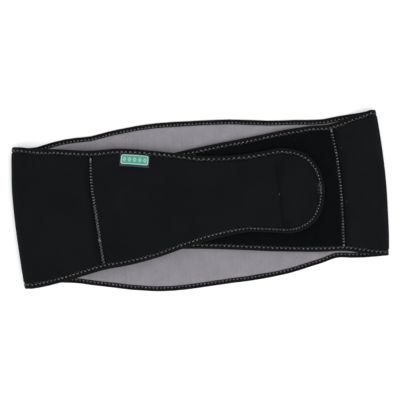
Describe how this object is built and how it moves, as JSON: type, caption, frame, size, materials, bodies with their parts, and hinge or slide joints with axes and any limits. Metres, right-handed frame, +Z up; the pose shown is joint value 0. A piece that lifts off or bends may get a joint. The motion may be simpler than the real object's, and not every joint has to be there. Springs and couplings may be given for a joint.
{
  "type": "maternity support belt",
  "caption": "Wrap-round maternity support belt in black neoprene with grey lining and zigzag-stitched edge tape, closed into a loop and laid flat.",
  "frame": {"origin": "middle of the bounding box, on the surface that the belt lies on, under the back panel", "axes": "+X along the flattened loop towards its right fold, +Y towards the belt's upper edge, +Z up from the surface through the back and then the crossed wings"},
  "size_m": [0.452, 0.2158, 0.021],
  "materials": {
    "neoprene": "black knit-faced neoprene, matt with a faint sheen",
    "velour": "black brushed loop pile, deeper black than the neoprene",
    "jersey": "grey melange jersey, matt, slightly mottled",
    "tape": "black folded stretch tape with light grey zigzag stitching",
    "hook": "black nylon hook tape",
    "woven_tab": "green woven tab with a pale border and a navy hem"
  },
  "bodies": {
    "root": {"wing_left": "neoprene", "side_left": "neoprene", "back_panel": "neoprene", "side_right": "neoprene", "wing_right": "velour", "lining_side_left": "jersey", "lining_back": "jersey", "lining_side_right": "jersey", "edge_binding": "tape", "hook_pad": "hook", "label_tab": "woven_tab"}
  },
  "joints": []
}
